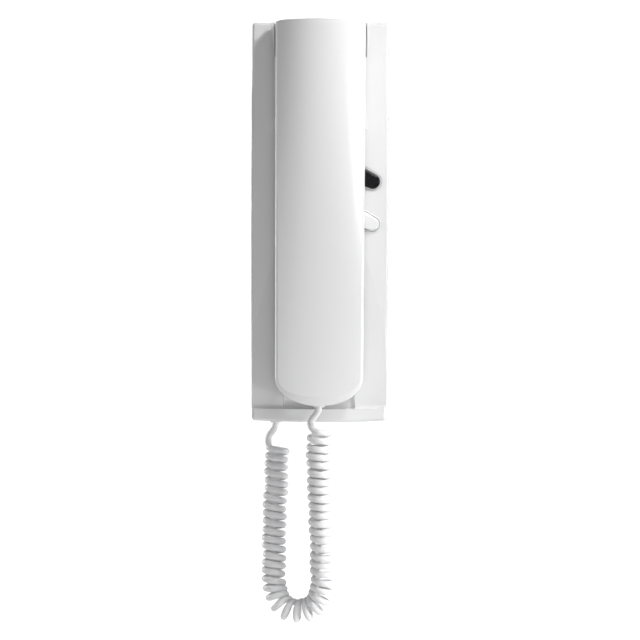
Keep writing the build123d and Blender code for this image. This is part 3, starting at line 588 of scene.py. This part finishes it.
@dataclass
class CurlyCord:
    """The handset's curly cord: a straight tail at each end of one long close-wound coil."""

    diameter: float = 3.7 * MM
    coil_radius: float = 4.9 * MM
    turns: float = 44.5
    points_per_turn: int = 16
    wander: float = 0.28 * MM
    crowding: float = 0.30
    middle: float = -0.011
    base_edge: float = -0.022
    handset_edge: float = -0.0033
    handset_tail: tuple[Point, ...] = (
        (0.0, -0.0335, -0.1007),
        (0.0, -0.0335, -0.1040),
        (-0.0012, -0.0335, -0.1066),
        (-0.0043, -0.0334, -0.1098),
        (-0.0049, -0.0336, -0.1130),
    )
    coil_axis: tuple[Point, ...] = (
        (-0.0002, -0.0334, -0.1152),
        (-0.0002, -0.0334, -0.1360),
        (0.0010, -0.0328, -0.1570),
        (0.0019, -0.0320, -0.1770),
        (0.0024, -0.0306, -0.1940),
        (0.0020, -0.0286, -0.2087),
        (-0.0057, -0.0253, -0.2164),
        (-0.0167, -0.0203, -0.2164),
        (-0.0244, -0.0170, -0.2087),
        (-0.0248, -0.0156, -0.1940),
        (-0.0247, -0.0150, -0.1770),
        (-0.0246, -0.0148, -0.1600),
        (-0.0234, -0.0146, -0.1420),
        (-0.0234, -0.0146, -0.1252),
    )
    base_tail: tuple[Point, ...] = (
        (-0.0284, -0.0140, -0.1225),
        (-0.0281, -0.0144, -0.1195),
        (-0.0262, -0.0143, -0.1172),
        (-0.0240, -0.0140, -0.1142),
        (-0.0240, -0.0140, -0.1105),
    )

    @staticmethod
    def spline(name: str, points: Iterable[Point], resolution: int) -> bpy.types.Object:
        """Lays a smooth line through the neighbourhood of its control points.

        Args:
            name: the curve's name.
            points: the control points.
            resolution: how many steps each stretch is drawn in.

        Returns:
            The curve object.
        """
        points = list(points)
        curve = bpy.data.curves.new(name, "CURVE")
        curve.dimensions = "3D"
        line = curve.splines.new("NURBS")
        line.points.add(len(points) - 1)
        for knot, point in zip(line.points, points):
            knot.co = (*point, 1.0)
        line.order_u = 3
        line.use_endpoint_u = True
        line.resolution_u = resolution
        made = bpy.data.objects.new(name, curve)
        bpy.context.collection.objects.link(made)
        return made

    @staticmethod
    def drawn_points(made: bpy.types.Object) -> list[Vector]:
        """Reads the points that a plain curve is drawn through.

        Args:
            made: the curve object, with no bevel.

        Returns:
            The points in order.
        """
        bpy.context.view_layer.update()
        graph = bpy.context.evaluated_depsgraph_get()
        mesh = bpy.data.meshes.new_from_object(made.evaluated_get(graph))
        points = [v.co.copy() for v in mesh.vertices]
        bpy.data.meshes.remove(mesh)
        return points

    def winding(self) -> list[Point]:
        """Winds the coil round its axis.

        The frame is carried along the axis without twist, so the winding starts at the
        coil's left side by the handset and ends at its left side by the wall unit.

        Returns:
            The winding's control points.
        """
        axis = self.spline("coil_axis", self.coil_axis, 12)
        line = self.drawn_points(axis)
        bpy.data.objects.remove(axis)
        tangents = [
            (line[min(i + 1, len(line) - 1)] - line[max(i - 1, 0)]).normalized() for i in range(len(line))
        ]
        side = Vector((-1, 0, 0))
        sides = []
        spans = [0.0]
        bends = []
        for i, tangent in enumerate(tangents):
            if i:
                side = tangents[i - 1].rotation_difference(tangent) @ side
                spans.append(spans[-1] + (line[i] - line[i - 1]).length)
            side = (side - side.dot(tangent) * tangent).normalized()
            sides.append(side.copy())
            bends.append(1 - max(0.0, -tangent.z if line[i].x > self.middle else tangent.z) ** 2)
        paces = [1 / (1 + self.crowding * bend) for bend in bends]
        angles = [0.0]
        for i in range(1, len(line)):
            angles.append(angles[-1] + (spans[i] - spans[i - 1]) * (paces[i] + paces[i - 1]) / 2)
        full = self.turns * math.tau
        angles = [a * full / angles[-1] for a in angles]
        step = math.tau / self.points_per_turn
        radius = self.coil_radius / math.cos(step / 2) ** 2
        points = []
        i = 0
        lead = 3
        for k in range(lead, round(full / step) + 1 - lead):
            angle = k * step
            while angles[i + 1] < angle:
                i += 1
            share = (angle - angles[i]) / (angles[i + 1] - angles[i])
            centre = line[i].lerp(line[i + 1], share)
            tangent = tangents[i].lerp(tangents[i + 1], share).normalized()
            side = sides[i].lerp(sides[i + 1], share)
            across = tangent.cross(side)
            swell = 1 + 0.02 * math.sin(angle * 0.37 + 0.6) + 0.012 * math.sin(angle * 0.83)
            shove = self.wander * Vector(
                (math.sin(angle * 0.231 + 0.4), math.sin(angle * 0.173 + 1.9), 0.8 * math.sin(angle * 0.317))
            )
            arm = side * math.cos(angle) - across * math.sin(angle)
            points.append(tuple(centre + shove + arm * radius * swell))
        return points

    def build(self) -> bpy.types.Object:
        """Makes the cord as one closed tube.

        Returns:
            The cord's mesh object.
        """
        points = [*self.handset_tail, *self.winding(), *self.base_tail]
        route = self.spline("cord_route", points, 3)
        centreline = self.drawn_points(route)
        route.data.bevel_depth = self.diameter / 2
        route.data.bevel_resolution = 4
        route.data.use_fill_caps = True
        bpy.context.view_layer.update()
        graph = bpy.context.evaluated_depsgraph_get()
        mesh = bpy.data.meshes.new_from_object(route.evaluated_get(graph))
        bpy.data.objects.remove(route)
        cord = bpy.data.objects.new("curly_cord", mesh)
        bpy.context.collection.objects.link(cord)
        mesh.shade_smooth()
        dress(cord, CORD_WHITE)
        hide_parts("cord_handset_tail", "coil_handset_side", "coil_base_side", "cord_base_tail")
        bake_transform(cord)
        return cord


@dataclass(frozen=True)
class ButtonSpring:
    """A push button's return spring, as a mesh of its own.

    Attributes:
        button: the name that its button's pieces start with.
        foot: the depth of the switch top that it stands on; not used.
        height: its free height, from the switch to the cap's flange; not used.
        travel: how far the cap goes in; not used.
        weld: points closer than this become one.
        crease: edges sharper than this stay sharp.
    """

    button: str
    foot: float = 11.0 * MM
    height: float = 10.2 * MM
    travel: float = 1.5 * MM
    weld: float = 1e-6
    crease: float = math.radians(40)

    def build(self) -> bpy.types.Object:
        """Makes the spring as its own mesh, so that it can be pressed together.

        Returns:
            The spring's mesh object.
        """
        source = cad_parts[self.button + "_spring"]
        wire = source.copy()
        wire.data = source.data.copy()
        wire.name = self.button + "_return_spring"
        for key in list(wire.keys()):
            del wire[key]
        bpy.context.collection.objects.link(wire)
        bpy.ops.object.select_all(action="DESELECT")
        wire.select_set(True)
        bpy.context.view_layer.objects.active = wire
        bpy.ops.object.mode_set(mode="EDIT")
        bpy.ops.mesh.select_all(action="SELECT")
        bpy.ops.mesh.remove_doubles(threshold=self.weld)
        bpy.ops.object.mode_set(mode="OBJECT")
        bpy.ops.object.shade_smooth_by_angle(angle=self.crease)
        wire.select_set(False)
        dress(wire, SPRING_WIRE)
        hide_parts(self.button + "_spring")
        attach(wire, Body.BASE.value)
        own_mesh(wire)
        log.info("%s: %d faces", wire.name, len(wire.data.polygons))
        return wire


# ------------------------------------------------------------------ studio


@dataclass
class Studio:
    """The white room, the lights and the camera."""

    distance: float = 1.2
    focus_plane: float = -0.025
    lens: float = 121.6
    aim: Point = (0.00033, 0.0, -0.0546)
    roll: float = math.radians(0.27)
    sensor: float = 36
    floor: float = -0.262
    backdrop: float = 3.0
    room_side: float = 12

    def camera(self) -> bpy.types.Object:
        """Sets up the camera, level with the handset's lower half.

        Returns:
            The camera object.
        """
        data = bpy.data.cameras.new("camera")
        data.lens = self.lens
        data.sensor_width = self.sensor
        made = bpy.data.objects.new("camera", data)
        bpy.context.collection.objects.link(made)
        spot = Vector((self.aim[0], self.focus_plane - self.distance, self.aim[2]))
        level = Matrix.Rotation(math.pi / 2, 4, "X")
        made.matrix_world = Matrix.Translation(spot) @ level @ Matrix.Rotation(self.roll, 4, "Z")
        bpy.context.scene.camera = made
        return made

    def lamp(
        self, name: str, spot: Point, target: Point, size: float, power: float, spread: float = math.pi
    ) -> bpy.types.Object:
        """Adds a square softbox.

        Args:
            name: the lamp's name.
            spot: where it stands.
            target: what it points at.
            size: the length of its side.
            power: its power in watts.
            spread: the angle that its grid lets through.

        Returns:
            The lamp object.
        """
        data = bpy.data.lights.new(name, "AREA")
        data.spread = spread
        data.size = size
        data.energy = power
        made = bpy.data.objects.new(name, data)
        bpy.context.collection.objects.link(made)
        facing = (Vector(target) - Vector(spot)).to_track_quat("-Z", "Y")
        made.matrix_world = Matrix.Translation(Vector(spot)) @ facing.to_matrix().to_4x4()
        made.visible_camera = False
        return made

    def room(self) -> None:
        """Stands a pale floor and a white backdrop round the object."""
        bench = Bench("studio_white")
        haze = bench.noise(3.0, 2.0)
        shade = bench.mixed(haze, (0.90, 0.90, 0.90), (0.93, 0.93, 0.93))
        fixed = {"Emission Strength": 1.0, "Emission Color": (1, 1, 1, 1), "Roughness": 0.9}
        material = bench.finish({"Base Color": shade}, fixed)
        for name, spot, turn in (
            ("floor", (0, 0, self.floor), 0.0),
            ("backdrop", (0, self.backdrop, 0), math.pi / 2),
        ):
            bpy.ops.mesh.primitive_plane_add(size=self.room_side, location=spot, rotation=(turn, 0, 0))
            made = bpy.context.object
            made.name = name
            made.data.materials.append(material)
            made.visible_diffuse = False
            made.visible_glossy = False

    def world(self, strength: float) -> None:
        """Fills the room with even light.

        Args:
            strength: the light's strength.
        """
        world = bpy.data.worlds.new("soft_room")
        world.use_nodes = True
        background = world.node_tree.nodes["Background"]
        background.inputs["Color"].default_value = (1, 1, 1, 1)
        background.inputs["Strength"].default_value = strength
        bpy.context.scene.world = world

    def build(self) -> None:
        """Sets everything up."""
        self.camera()
        self.room()
        self.world(0.25)
        self.lamp("high_key", (0.34, -0.30, 0.47), (0, 0, 0.07), 0.12, 0.88, math.radians(100))
        self.lamp("low_key", (0.36, -0.31, 0.03), (0, 0, 0.02), 0.12, 0.15, math.radians(100))
        self.lamp("bounce", (0.0, -0.20, -0.25), (0, -0.20, 1.0), 0.7, 0.8)
        self.lamp("coil_card", (0.33, -0.16, -0.24), (0, -0.02, -0.19), 0.10, 0.10, math.radians(50))
        self.lamp("rear_left", (-0.45, 0.26, 0.0), (0, -0.03, 0.0), 0.3, 1.3)
        self.lamp("rear_right", (0.45, 0.26, 0.0), (0, -0.03, 0.0), 0.3, 0.5)
        self.lamp("front_card", (-0.15, -1.0, -0.1), (0, 0, -0.06), 0.5, 0.32)
        bpy.context.scene.view_settings.view_transform = "Standard"


def main() -> None:
    """Builds the studio and every piece."""
    bpy.ops.object.select_all(action="DESELECT")
    Studio().build()
    for name, finish in NODE_FINISHES.items():
        dress(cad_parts[name], finish)
        log.info("%s: %s", name, finish.name)
    CurlyCord().build()
    for button in (Body.DOOR, Body.CALL):
        ButtonSpring(button.value).build()


if __name__ == "__main__":
    main()
